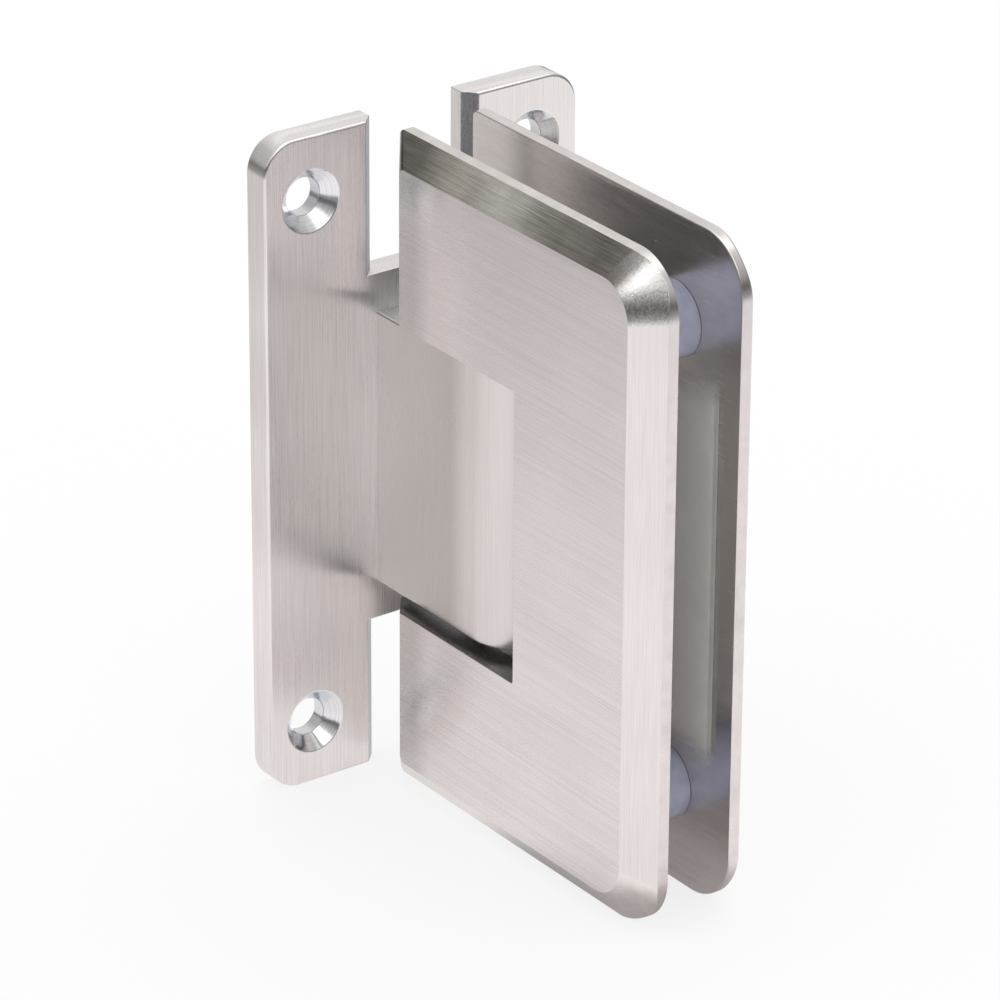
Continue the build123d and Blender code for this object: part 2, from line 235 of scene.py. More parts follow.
# the block: painted shade over its flat sides, deepest near x 20, none on its rounded nose from x 23
blockSteel = brushedSteel("satinSteelBlock", "Z", "#d8d4d2", "#e4e0de", roughness=0.25, sheenSpread=0.6,
                          scratchWidth=0.30, scratchLength=14.0, scratchDepth=0.0010, cloud=16.0,
                          veil=("X", 6.0, 34.0, [(0.0, "#f0f2f2"), (0.2, "#eaebea"), (0.5, "#e2e2df"),
                                                 (0.62, "#ffffff"), (1.0, "#ffffff")]))
innerSteel = brushedSteel("satinSteelInner", "X", "#ddd9d6", "#ebe7e4", roughness=0.23, sheenSpread=0.4,
                          scratchWidth=0.35, scratchLength=5.0, scratchDepth=0.0015, cloud=12.0)
# the lower bevels: the bevel steel without the top bevels' painted shade and painted glints
lowBevelSteel = brushedSteel("satinSteelLowBevel", "X", "#dcd8d5", "#efebe8", roughness=0.24, sheenSpread=0.4,
                             scratchWidth=0.16, scratchLength=7.0, scratchDepth=0.002, cloud=10.0)

# Sawn, milled and ground faces
edgeSteel = plainMetal("sawnSteelEdge", "#dbd6d4", "#ebe7e5", roughness=0.24, mottle=3.0, mottleDepth=0.0004)
# the lower corners: the corner steel without the upper corners' painted shade
lowCornerSteel = plainMetal("groundSteelLowCorner", "#e6e2df", "#f3efec", roughness=0.22, mottle=1.6,
                            mottleDepth=0.0015)
# the upper corners: painted shade darkens where they start, fading out by x 58
cornerSteel = plainMetal("groundSteelCorner", "#d2d0ce", "#f5f4f2", roughness=0.2, mottle=0.34,
                         mottleDepth=0.009, detail=4.0,
                         veil=("X", 53.0, 58.0, [(0.0, "#8c8986"), (0.45, "#bebbb7"), (1.0, "#ffffff")]))
millSteel = plainMetal("milledSteelBlockEnd", "#d4d6da", "#eceef1", roughness=0.5, mottle=0.3,
                       mottleDepth=0.004)
# the notch walls: a dark grey that is painted shade for the recess round the block, not the steel's own
# colour
notchShadeSteel = plainMetal("notchPaintedShade", "#8f8d8c", "#979594", roughness=0.26, mottle=6.0,
                        mottleDepth=0.0001)
slotSteel = plainMetal("groundSteelSlot", "#b9bbc1", "#dcdde2", roughness=0.44, mottle=0.3, mottleDepth=0.012)

# Turned steel: the centres are half the wall screws' spacings, and the pin's axis
countersinkSteel = turnedSteel("turnedSteelCountersink", "X", (0, 17.1, 36.4), "#dfe1e5", "#f3f5f8",
                               roughness=0.16, ringWidth=0.14, ringDepth=0.0022, folded=True)
turnedPin = turnedSteel("turnedSteelPin", "Z", (25, 0, 0), "#b5b2b0", "#dedbd8", roughness=0.22,
                        ringWidth=0.12, ringDepth=0.003)

# Small parts: plated screws, spring wire, brass bushes, nylon washers and tinted plastic
screwSteel = plainMetal("fastenerSteel", "#b9b7b6", "#dcdad9", roughness=0.26, mottle=0.5, mottleDepth=0.002)
springSteel = plainMetal("springSteel", "#8b8886", "#b5b1ad", roughness=0.3, mottle=0.4, mottleDepth=0.003)
bushBrass = plainMetal("bushBrass", "#b08a4a", "#d0ab68", roughness=0.28, mottle=0.4, mottleDepth=0.003)
washerNylon = mouldedPlastic("washerNylon", "#dcdad5", "#eae8e4", roughness=0.42, grain=0.3, grainDepth=0.004)
sleevePlastic = mouldedPlastic("sleevePlastic", "#a3a6bf", "#b6b9ce", roughness=0.22, grain=2.5,
                               grainDepth=0.002)
gasketFilm = mouldedPlastic("gasketFilm", "#eceae7", "#f4f2ef", roughness=0.2, grain=2.6, grainDepth=0.02,
                            ior=1.45, film=(0.03, 0.68, 21.0, 6.0))
gasketEdge = mouldedPlastic("gasketEdge", "#dcdad8", "#e6e4e2", roughness=0.25, grain=2.6, grainDepth=0.02,
                            ior=1.45, film=(0.03, 0.1, 21.0, 6.0))
print("materials made")


# Shape helpers

def finishByDirection(mesh, materials, rules):
    # each rule is a material and a test on face normals and centres in mm; a later rule wins
    normals, centres = np.zeros(len(mesh.polygons) * 3), np.zeros(len(mesh.polygons) * 3)
    mesh.polygons.foreach_get("normal", normals)
    mesh.polygons.foreach_get("center", centres)
    slots = np.zeros(len(mesh.polygons), dtype=np.int32)
    for material, test in rules:
        slots[test(normals.reshape(-1, 3), centres.reshape(-1, 3) / mm)] = materials.index(material)
    mesh.polygons.foreach_set("material_index", slots)


softEdge = {
    "mergeDistance": 0.0005,     # mm
    "flatAngle": 0.6,            # degrees under which two faces of a CAD copy count as one plane
    "fineFlatAngle": 0.05,       # the same for a surface worked out here
    "bevelWidth": 0.18,          # mm
    "bevelSegments": 3,
    "bevelAngle": 24.0,          # degrees
    "sharpAngle": 38.0,          # degrees
    "flatLimit": 9.6,            # degrees that faces of one round surface may differ
}


def settle(name, mesh, body, materials, node, rules=(), width=softEdge["bevelWidth"], weighted=True):
    # makes the piece, gives its faces their finish and rubs its sharp edges round, as belt grinding
    # leaves them
    mesh.shade_smooth()
    mesh.materials.clear()
    for material in materials:
        mesh.materials.append(material)
    finishByDirection(mesh, materials, rules)
    piece = bpy.data.objects.new(name, mesh)
    bpy.context.scene.collection.objects.link(piece)
    bevel = piece.modifiers.new("rubbedEdges", "BEVEL")
    bevel.width = width * mm
    bevel.segments = softEdge["bevelSegments"]
    bevel.limit_method = "ANGLE"
    bevel.angle_limit = radians(softEdge["bevelAngle"])
    bevel.use_clamp_overlap = True
    if weighted:
        piece.modifiers.new("flatFaces", "WEIGHTED_NORMAL").mode = "FACE_AREA"
    rounded = bpy.data.meshes.new_from_object(piece.evaluated_get(bpy.context.evaluated_depsgraph_get()))
    piece.modifiers.clear()
    if not weighted:
        rounded.set_sharp_from_angle(angle=radians(softEdge["flatLimit"]))
    piece.data = rounded
    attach(piece, body)
    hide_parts(node)


def softCopy(name, node, body, materials, rules=(), width=softEdge["bevelWidth"], keepBeyond=None):
    # a merged copy of a CAD solid with rubbed edges; keepBeyond cuts it at that y in mm and caps the cut
    mesh = nodes[node].data.copy()
    mesh.name = name
    work = bmesh.new()
    work.from_mesh(mesh)
    bmesh.ops.remove_doubles(work, verts=work.verts, dist=softEdge["mergeDistance"] * mm)
    if keepBeyond is not None:
        everything = list(work.verts) + list(work.edges) + list(work.faces)
        cut = bmesh.ops.bisect_plane(work, geom=everything, plane_co=(0, keepBeyond * mm, 0),
                                     plane_no=(0, 1, 0), clear_inner=True)["geom_cut"]
        rim = [part for part in cut if isinstance(part, bmesh.types.BMEdge)]
        bmesh.ops.holes_fill(work, edges=rim, sides=0)
    bmesh.ops.dissolve_limit(work, angle_limit=radians(softEdge["flatAngle"]), verts=work.verts,
                             edges=work.edges, use_dissolve_boundaries=False)
    bmesh.ops.recalc_face_normals(work, faces=work.faces)
    work.to_mesh(mesh)
    work.free()
    for layer in [a.name for a in mesh.attributes if a.name in ("custom_normal", "sharp_face", "sharp_edge")]:
        mesh.attributes.remove(mesh.attributes[layer])
    settle(name, mesh, body, materials, node, rules, width)


def gridFaces(rows, columns):
    # quads of a grid whose last column joins its first
    start = np.arange(columns)
    after = (start + 1) % columns
    row = np.arange(rows - 1)[:, None] * columns
    quads = np.stack([row + start, row + after, row + columns + after, row + columns + start], -1)
    return quads.reshape(-1, 4)


def ringPiece(name, rings, material, body, node):
    # rings is an array (row, column, 3) in mm: each row is a closed ring, and the first and last are capped
    rows, columns, _ = rings.shape
    faces = gridFaces(rows, columns).tolist()
    faces.append(list(range(columns))[::-1])
    faces.append(list(range((rows - 1) * columns, rows * columns)))
    mesh = bpy.data.meshes.new(name)
    mesh.from_pydata(rings.reshape(-1, 3) * mm, [], faces)
    work = bmesh.new()
    work.from_mesh(mesh)
    bmesh.ops.remove_doubles(work, verts=work.verts, dist=softEdge["mergeDistance"] * mm)
    bmesh.ops.recalc_face_normals(work, faces=work.faces)
    work.to_mesh(mesh)
    work.free()
    mesh.shade_smooth()
    mesh.set_sharp_from_angle(angle=radians(softEdge["sharpAngle"]))
    mesh.materials.append(material)
    piece = bpy.data.objects.new(name, mesh)
    bpy.context.scene.collection.objects.link(piece)
    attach(piece, body)
    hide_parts(node)


def nodeBox(node):
    # the corners of a CAD node in mm
    places = np.empty(len(nodes[node].data.vertices) * 3)
    nodes[node].data.vertices.foreach_get("co", places)
    places = places.reshape(-1, 3) / mm
    return places.min(axis=0), places.max(axis=0)


def placeAlong(points, axis, side, origin):
    # local x, y, z become the two next axes and the named one, with z turned to its side
    order = {"X": [2, 0, 1], "Y": [1, 2, 0], "Z": [0, 1, 2]}[axis]
    turned = points * np.array([1, side, side])
    return turned[..., order] + np.array(origin)


def arc(centre, radius, fromAngle, toAngle, steps):
    # points on a circle: centre plus radius times (cos, sin), angles in degrees
    angle = np.radians(np.linspace(fromAngle, toAngle, steps + 1))
    return np.array(centre) + radius * np.stack([np.cos(angle), np.sin(angle)], -1)


def loopSolid(name, outline, holes):
    # outline and each hole are stacks of rings (row, column, 3) in mm that run from the first cap to the
    # last; a hole is (rings, opens at the first cap, opens at the last cap), and a closed end gets a floor
    points, faces, caps = [], [], ([], [])
    for rings, *ends in [(outline, True, True)] + holes:
        rows, columns, _ = rings.shape
        first = sum(len(block) for block in points)
        last = first + (rows - 1) * columns
        points.append(rings.reshape(-1, 3))
        faces += (gridFaces(rows, columns) + first).tolist()
        rims = [list(range(start, start + columns)) for start in (first, last)]
        for cap, rim, opens in zip(caps, rims, ends):
            if opens:
                cap.append(rim)
            else:
                faces.append(rim)
    points = np.vstack(points)
    for cap in caps:
        order = [index for rim in cap for index in rim]
        triangles = tessellate_polygon([[Vector(points[index]) for index in rim] for rim in cap])
        faces += [[order[corner] for corner in triangle] for triangle in triangles]
    mesh = bpy.data.meshes.new(name)
    mesh.from_pydata(points * mm, [], faces)
    work = bmesh.new()
    work.from_mesh(mesh)
    bmesh.ops.remove_doubles(work, verts=work.verts, dist=softEdge["mergeDistance"] * mm)
    bmesh.ops.dissolve_degenerate(work, edges=work.edges, dist=softEdge["mergeDistance"] * mm)
    bmesh.ops.dissolve_limit(work, angle_limit=radians(softEdge["fineFlatAngle"]), verts=work.verts,
                             edges=work.edges, use_dissolve_boundaries=False)
    bmesh.ops.recalc_face_normals(work, faces=work.faces)
    work.to_mesh(mesh)
    work.free()
    return mesh


# Wall plate: brushed all over, its slots ground and its countersinks turned; lengths in mm
wallPlate = {
    "screwSpacingY": 34.2, "screwSpacingZ": 72.8,
    "countersinkReach": 4.6,     # from a hole's centre to where its turned metal ends
    "slotReach": 10.0,           # from the middle to where the slots' slanted walls end
}


def slotWalls(n, p):
    # n holds face normals and p their centres in mm, here and in every rule
    return (abs(n[:, 0]) > 0.3) & (abs(n[:, 1]) > 0.3) & (abs(p[:, 1]) < wallPlate["slotReach"])


def countersinks(n, p):
    fromHole = np.hypot(abs(p[:, 1]) - wallPlate["screwSpacingY"] / 2,
                        abs(p[:, 2]) - wallPlate["screwSpacingZ"] / 2)
    return (abs(n[:, 0]) < 0.9) & (fromHole < wallPlate["countersinkReach"])


softCopy("wallPlate", "wall_plate", "wall_side", [plateSteel, slotSteel, countersinkSteel],
         [(slotSteel, slotWalls), (countersinkSteel, countersinks)])

# Pivot block: milled on top and bottom, its edges rubbed rounder than the plates'; length in mm
pivotBlock = {"edgeWidth": 0.32}

softCopy("pivotBlock", "pivot_block", "wall_side", [blockSteel, millSteel],
         [(millSteel, lambda n, p: abs(n[:, 2]) > 0.9)], width=pivotBlock["edgeWidth"])

# Clamp plates: a straight land at the edge, then a bevel up to the face; lengths in mm
clampPlate = {
    "innerY": 4.75,                  # from the middle of the glass to the inner faces
    "landThickness": 1.6, "bevelWidth": 3.6, "endBevelWidth": 4.4,
    "startRadius": 1.0, "endRadius": 7.5, "faceEndRadius": 5.0,
    "notch": (36.0, 20.0, 0.4),      # x, half height and corner radius
    "cornerDrops": {-1: 0.9, 1: 0.35},   # what each land loses in an outer corner, where the grinder dwells
    "cornerSteps": 30, "startSteps": 10, "notchSteps": 6,
    "support": 0.3,                  # a point on the straight, so near a corner, keeps the flat bevel flat
    "postX": 50.0, "postSpacing": 63.0, "holeColumns": 64,
    "seatRadius": 3.27, "seatDepth": 2.0,
    "holeRadius": 2.7, "countersinkRadius": 5.1,
    "cornerFromX": 50.0, "cornerReach": 5.0,     # where a corner's own finish may begin
    "notchReach": 0.1,               # how far outside the notch its milled walls are still looked for
}


def notchedOutline(startX, endX, halfHeight, startRadius, endRadius, notch, wallX):
    # x and z of one closed line: notch corner, notch wall, start corner, end corner, then all of it mirrored
    notchX, notchHalf, notchRadius = notch
    c = clampPlate
    upper = np.vstack([
        arc((notchX - notchRadius, notchHalf - notchRadius), notchRadius, 0, 90, c["notchSteps"]),
        [(wallX, notchHalf), (startX, notchHalf)],
        arc((startX + startRadius, halfHeight - startRadius), startRadius, 180, 90, c["startSteps"]),
        [(endX - endRadius - c["support"], halfHeight)],
        arc((endX - endRadius, halfHeight - endRadius), endRadius, 90, 0, c["cornerSteps"]),
        [(endX, halfHeight - endRadius - c["support"])],
    ])
    return np.vstack([upper, upper[::-1] * [1, -1]])


def raised(outline, height):
    # an outline in x and z set at a height (one value, or one for each point) along y
    return np.stack([outline[:, 0], np.broadcast_to(height, len(outline)), outline[:, 1]], -1)


def postRings(radii, heights):
    # for each post, a stack of circles of these radii at these heights along y
    columns = clampPlate["holeColumns"]
    turn = np.linspace(0, 2 * pi, columns + 1)[:-1]
    stacks = []
    for side in levels.values():
        stacks.append(np.stack([
            np.stack([clampPlate["postX"] + radius * np.cos(turn), np.full(columns, height),
                      side * clampPlate["postSpacing"] / 2 + radius * np.sin(turn)], -1)
            for radius, height in zip(radii, heights)]))
    return stacks


def clampPiece(name, node, side):
    # a land ring, then a bevel up to the face; over a quarter turn a of an outer corner
    # the land's height falls by its corner drop times the square of sin 2a
    c = clampPlate
    low, high = nodeBox(node)
    innerY, faceY = c["innerY"], abs(high[1] if side > 0 else low[1])
    faceStart = low[0] + c["bevelWidth"]
    land = notchedOutline(low[0], high[0], high[2], c["startRadius"], c["endRadius"], c["notch"], faceStart)
    face = notchedOutline(faceStart, high[0] - c["endBevelWidth"], high[2] - c["bevelWidth"],
                          c["startRadius"], c["faceEndRadius"], c["notch"], faceStart)
    beyond = np.maximum(np.stack([land[:, 0], abs(land[:, 1])], -1)
                        - [high[0] - c["endRadius"], high[2] - c["endRadius"]], 0)
    drop = c["cornerDrops"][side] * np.sin(2 * np.arctan2(beyond[:, 1], beyond[:, 0])) ** 2
    landY = innerY + c["landThickness"]
    outline = np.stack([raised(land, side * innerY), raised(land, side * (landY - drop)),
                        raised(face, side * faceY)])
    if side > 0:
        sinkY = faceY - (c["countersinkRadius"] - c["holeRadius"])
        stacks = postRings((c["holeRadius"], c["holeRadius"], c["countersinkRadius"]), (innerY, sinkY, faceY))
        holes = [(stack, True, True) for stack in stacks]
    else:
        stacks = postRings((c["seatRadius"], c["seatRadius"]), (-innerY, -innerY - c["seatDepth"]))
        holes = [(stack, True, False) for stack in stacks]
    mesh = loopSolid(name, outline, holes)
    notchX, notchHalf = c["notch"][0] + c["notchReach"], c["notch"][1] + c["notchReach"]
    cornerX, cornerZ = c["cornerFromX"], high[2] - c["endRadius"] - c["cornerReach"]

    def corner(n, p, upDown):
        slanted = (abs(n[:, 0]) > 0.03) & (upDown * n[:, 2] > 0.03)
        return slanted & (p[:, 0] > cornerX) & (upDown * p[:, 2] > cornerZ)

    rules = [
        (bevelSteel, lambda n, p: abs(n[:, 2]) > 0.4),
        (lowBevelSteel, lambda n, p: n[:, 2] < -0.4),
        (endSteel, lambda n, p: abs(n[:, 0]) > 0.4),
        (cornerSteel, lambda n, p: corner(n, p, 1)),
        (lowCornerSteel, lambda n, p: corner(n, p, -1)),
        (edgeSteel, lambda n, p: abs(n[:, 1]) < 0.05),
        (innerSteel, lambda n, p: side * n[:, 1] < -0.5),
        # the notch walls get the dark grey of painted shade
        (notchShadeSteel, lambda n, p: (abs(n[:, 1]) < 0.05) & (p[:, 0] < notchX) & (abs(p[:, 2]) < notchHalf)),
    ]
    finishes = [faceSteel, bevelSteel, endSteel, innerSteel, edgeSteel, cornerSteel, notchShadeSteel,
                lowBevelSteel, lowCornerSteel]
    settle(name, mesh, "door_side", finishes, node, rules, weighted=False)


# Gaskets: clear sheets on the inner faces, cut out round the block and the lugs; lengths in mm
gasket = {
    "startRadius": 1.0, "endRadius": 5.0,
    "notch": (41.0, 29.5, 0.4),      # x, half height and corner radius
    "holeRadius": 5.2,
    "offPlate": 0.02,                # a hair off the plate, so that the two faces don't share one plane
    "edgeWidth": 0.08,
}


def gasketPiece(name, node, side):
    low, high = nodeBox(node)
    outline = notchedOutline(low[0], high[0], high[2], gasket["startRadius"], gasket["endRadius"],
                             gasket["notch"], low[0])
    outer, inner = (high[1], low[1]) if side > 0 else (low[1], high[1])
    heights = (outer - side * gasket["offPlate"], inner)
    holes = [(stack, True, True) for stack in postRings((gasket["holeRadius"],) * 2, heights)]
    mesh = loopSolid(name, np.stack([raised(outline, height) for height in heights]), holes)
    settle(name, mesh, "door_side", [gasketFilm, gasketEdge], node,
           [(gasketEdge, lambda n, p: abs(n[:, 1]) < 0.9)], width=gasket["edgeWidth"], weighted=False)


clampPiece("frontClampPlate", "front_clamp_plate", -1)
clampPiece("rearClampPlate", "rear_clamp_plate", 1)
# the lugs are cut from the CAD plate, a hair inside its inner face
softCopy("pinLugs", "front_clamp_plate", "door_side", [innerSteel],
         keepBeyond=0.01 - clampPlate["innerY"])
gasketPiece("frontGasket", "front_gasket", -1)
gasketPiece("rearGasket", "rear_gasket", 1)
print("plates and block made")

# Turned and moulded pieces with rubbed edges: body, slot, material and width of the rounding in mm
roundPieces = {
    "pivot_pin": ("door_side", "turned_steel", turnedPin, 0.12),
}
for level in levels:
    roundPieces.update({
        f"detent_plunger_{level}": ("wall_side", "turned_steel", turnedPin, 0.1),
        f"pin_bush_{level}": ("wall_side", "bush_brass", bushBrass, 0.15),
        f"thrust_washer_{level}": ("door_side", "washer_nylon", washerNylon, 0.15),
        f"clamp_post_{level}": ("door_side", "fastener_steel", screwSteel, 0.15),
        f"post_sleeve_{level}": ("door_side", "sleeve_plastic", sleevePlastic, 0.04),
    })
for node, (body, slot, material, width) in roundPieces.items():
    first, *others = node.split("_")
    softCopy(first + "".join(word.capitalize() for word in others), node, body, [material], width=width)
print("turned and moulded pieces made")

# Screws: sizes in mm that the countersunk ones and the grub screws share
screw = {
    "columns": 72,               # points round a ring, a multiple of six for the socket
    "shankRadius": 2.4,
    "pitch": 0.8,
    "threadDepth": 0.42,
    "flank": 1.3, "crest": 0.15,     # steepness of a thread's flank, and how much of its wave is cut flat
    "rowsPerTurn": 10,
    "plainLength": 0.7,          # between head and thread
    "lead": 0.1,                 # the same on a grub screw
    "edge": 0.15,                # rounding of the rim
    "drillPoint": 0.6,           # depth of the cone under the socket
    "drillTip": 0.02,            # radius at the cone's bottom
    "drillShare": 0.47,          # the cone's radius as a share of the socket's width
    "mouth": 0.1,                # what the socket's mouth adds to the radius of its corners
    "mouthTop": 0.12, "mouthDepth": 0.25,
    "tip": 0.4,                  # bevel at the end of the thread
}

# name: node, body, axis, side of the socket, its width and depth, and the height of a countersunk head's rim
screwKinds = {
    "clampScrew": ("clamp_screw", "door_side", "Y", 1, 3.0, 2.0, 0.3),
    "blockScrew": ("block_screw", "wall_side", "X", -1, 3.0, 2.0, 0.3),
    "springPlug": ("spring_plug", "wall_side", "X", -1, 2.5, 1.5, None),
    "pinSetScrew": ("pin_set_screw", "door_side", "X", -1, 2.0, 1.5, None),
}


def hexagonRing(columns, acrossFlats):
    # distance of a hexagon's side at each angle: half the width over cos of the angle from its flat
    angle = np.arange(columns) / columns * 2 * pi
    fromFlat = (angle + pi / 6) % (pi / 3) - pi / 6
    return acrossFlats / 2 / np.cos(fromFlat)


def threadRings(startZ, endZ, radius, columns):
    # a ridge that climbs one pitch per turn: the radius falls by a triangle wave of z / pitch - angle / turn,
    # flat on its crests, and the wave fades out over half a pitch at both ends
    count = int((startZ - endZ) / screw["pitch"] * screw["rowsPerTurn"])
    z = np.linspace(startZ, endZ, count)[:, None]
    angle = np.arange(columns)[None, :] / columns * 2 * pi
    phase = (z / screw["pitch"] - angle / (2 * pi)) % 1
    wave = np.clip(screw["flank"] * abs(2 * phase - 1) - screw["crest"], 0, 1)
    fade = np.clip(np.minimum(startZ - z, z - endZ) / (screw["pitch"] / 2), 0, 1)
    return radius - screw["threadDepth"] * wave * fade, np.broadcast_to(z, (count, columns))


def screwPiece(name, node, body, axis, side, socket, socketDepth, headRim):
    # rows run from the drilled cone under the socket, up its wall, over the head and down the thread
    # to the tip
    low, high = nodeBox(node)
    along = "XYZ".index(axis)
    across = [i for i in range(3) if i != along]
    radius, length = (high - low)[across].max() / 2, (high - low)[along]
    columns, edge, tip = screw["columns"], screw["edge"], screw["tip"]
    mouthTop = screw["mouthTop"]
    hexagon = hexagonRing(columns, socket)
    mouth = hexagon.max() + screw["mouth"]
    even = np.ones(columns)
    rows = [
        (screw["drillTip"] * even, -socketDepth - screw["drillPoint"]),
        (socket * screw["drillShare"] * even, -socketDepth),
        (hexagon, -socketDepth),
        (hexagon, -screw["mouthDepth"]),
        (np.maximum(hexagon, mouth - mouthTop), -mouthTop),
        (mouth * even, 0),
        ((radius - edge) * even, 0),
        ((radius - edge * 0.3) * even, -edge * 0.3),
        (radius * even, -edge),
    ]
    threadRadius, threadStart = radius, -edge - screw["lead"]
    if headRim:
        threadRadius = screw["shankRadius"]
        coneEnd = -headRim - (radius - threadRadius)
        rows += [(radius * even, -headRim), (threadRadius * even, coneEnd)]
        threadStart = coneEnd - screw["plainLength"]
    wall, heights = threadRings(threadStart, -length + tip, threadRadius, columns)
    radii = np.vstack([r for r, _ in rows] + [wall, (threadRadius - tip) * even])
    z = np.vstack([np.full(columns, h) for _, h in rows] + [heights, np.full(columns, -length)])
    angle = np.arange(columns) / columns * 2 * pi
    rings = np.stack([radii * np.cos(angle), radii * np.sin(angle), z], -1)
    origin = (low + high) / 2
    origin[along] = high[along] if side > 0 else low[along]
    ringPiece(name, placeAlong(rings, axis, side, origin), screwSteel, body, node)


for level in levels:
    for name, (node, *form) in screwKinds.items():
        screwPiece(name + level.capitalize(), f"{node}_{level}", *form)
print("screws made")

# Detent springs: wire coiled with a closed turn at each end, both ends ground flat
spring = {
    "turns": 6.5, "wire": 0.45, "radius": 2.2,   # mm; wire is its radius
    "closedShare": 0.16,         # share of the turns that lie close at each end
    "closedRise": 0.25,          # the rise there before it is squared, against 1 in between
    "endInset": 0.6,             # where the path ends, in wire radii from the seat
    "endGap": 0.02,              # mm from the seat to the ground flat
    "steps": 420, "columns": 16,
}


def springPiece(name, node):
    # a circle of wire carried along a coil: middle plus radius times (cos, sin) of the turns, rising in x
    low, high = nodeBox(node)
    wire, inset, gap = spring["wire"], spring["wire"] * spring["endInset"], spring["endGap"]
    t = np.linspace(0, 1, spring["steps"])
    # the rise per turn is a bell: little over the closed ends, even in between
    rise = np.clip(np.minimum(t, 1 - t) / spring["closedShare"], spring["closedRise"], 1) ** 2
    along = np.cumsum(rise)
    along = (along - along[0]) / (along[-1] - along[0])
    start, end = low[0] + inset, high[0] - inset
    middle = (low + high) / 2
    angle = 2 * pi * spring["turns"] * t
    outward = np.stack([0 * t, np.cos(angle), np.sin(angle)], -1)
    axis = np.stack([start + (end - start) * along, middle[1] + 0 * t, middle[2] + 0 * t], -1)
    path = spring["radius"] * outward + axis
    ahead = np.gradient(path, axis=0)
    ahead /= np.linalg.norm(ahead, axis=1)[:, None]
    beside = np.cross(ahead, outward)
    turn = np.arange(spring["columns"]) / spring["columns"] * 2 * pi
    # the circle lies in the plane of the outward and beside directions, cut flat at both ends
    rings = path[:, None, :] + wire * (np.cos(turn)[None, :, None] * outward[:, None, :]
                                       + np.sin(turn)[None, :, None] * beside[:, None, :])
    rings[..., 0] = np.clip(rings[..., 0], low[0] + gap, high[0] - gap)
    ringPiece(name, rings, springSteel, "wall_side", node)


for level in levels:
    springPiece(f"detentSpring{level.capitalize()}", f"detent_spring_{level}")
print("springs made")


# Studio: a pale table, a soft light in front and one above, a white background

# the table: lengths in mm, except reach, which is in metres; colours run from the dim to the bright side,
# painted light that metal mirrors
table = {
    "height": -45.0, "reach": 3.0,
    "brightSide": (1.0, 0.0, 0.0), "dimFrom": -150.0, "brightFrom": 90.0,
    "colours": [(0.0, "#d2cccb"), (0.18, "#dfd9d8"), (0.42, "#f6f0ef"), (0.68, "#f6f1f0"), (0.85, "#fffafa")],
    "fadeFrom": 250.0, "fadeTo": 500.0, "farColour": "#646363",
    "shadow": (50.0, 27.0, 16.0),    # middle in x, half length and half width of the contact shadow
    "shadowFade": (0.55, 1.1),       # where it fades, as shares of those halves
    "shadowColour": "#aaa4a4", "shadowShare": 0.2,
    "paper": (0.9, 0.9, 0.9, 1),
}


